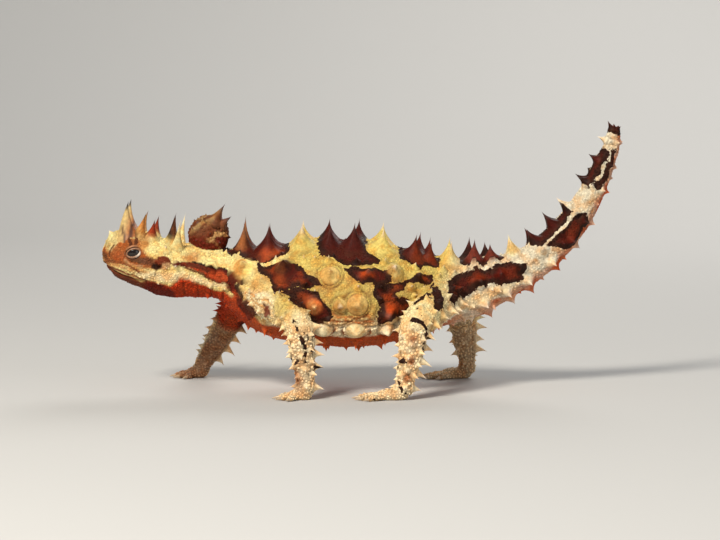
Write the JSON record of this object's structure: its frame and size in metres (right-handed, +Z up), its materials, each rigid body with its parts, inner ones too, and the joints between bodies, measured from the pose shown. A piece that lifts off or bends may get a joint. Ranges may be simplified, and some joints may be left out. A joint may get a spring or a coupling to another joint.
{
  "type": "thorny devil",
  "caption": "Life-size still model of a spiny desert lizard standing on four legs with its tail raised.",
  "frame": {"origin": "middle of the floor under the animal's bounding box", "axes": "+X from the head towards the tail, +Y the animal's right side, +Z up; the head faces -X"},
  "size_m": [0.1466, 0.063, 0.0756],
  "materials": {
    "skin_back": "dry scaly skin in cream and yellow with dark maroon patches",
    "skin_dark": "dry scaly skin, dark red-brown",
    "skin_pale": "granular cream skin with brown flecks",
    "horn": "smooth dull horn with a dark tip",
    "spines": "dull horny cones with sharp tips",
    "claws": "smooth horn",
    "eye": "wet and glossy, almost black"
  },
  "bodies": {
    "root": {"head": "skin_back", "neck": "skin_back", "nape_knob": "skin_dark", "chest": "skin_back", "belly": "skin_back", "hips": "skin_back", "tail_base": "skin_back", "tail_middle": "skin_back", "tail_end": "skin_back", "eye_left": "eye", "eye_right": "eye", "horn_left": "horn", "horn_right": "horn", "front_left_upper_arm": "skin_pale", "front_left_forearm": "skin_pale", "front_left_foot": "skin_pale", "front_right_upper_arm": "skin_pale", "front_right_forearm": "skin_pale", "front_right_foot": "skin_pale", "hind_left_thigh": "skin_pale", "hind_left_shank": "skin_pale", "hind_left_foot": "skin_pale", "hind_right_thigh": "skin_pale", "hind_right_shank": "skin_pale", "hind_right_foot": "skin_pale"}
  },
  "joints": []
}
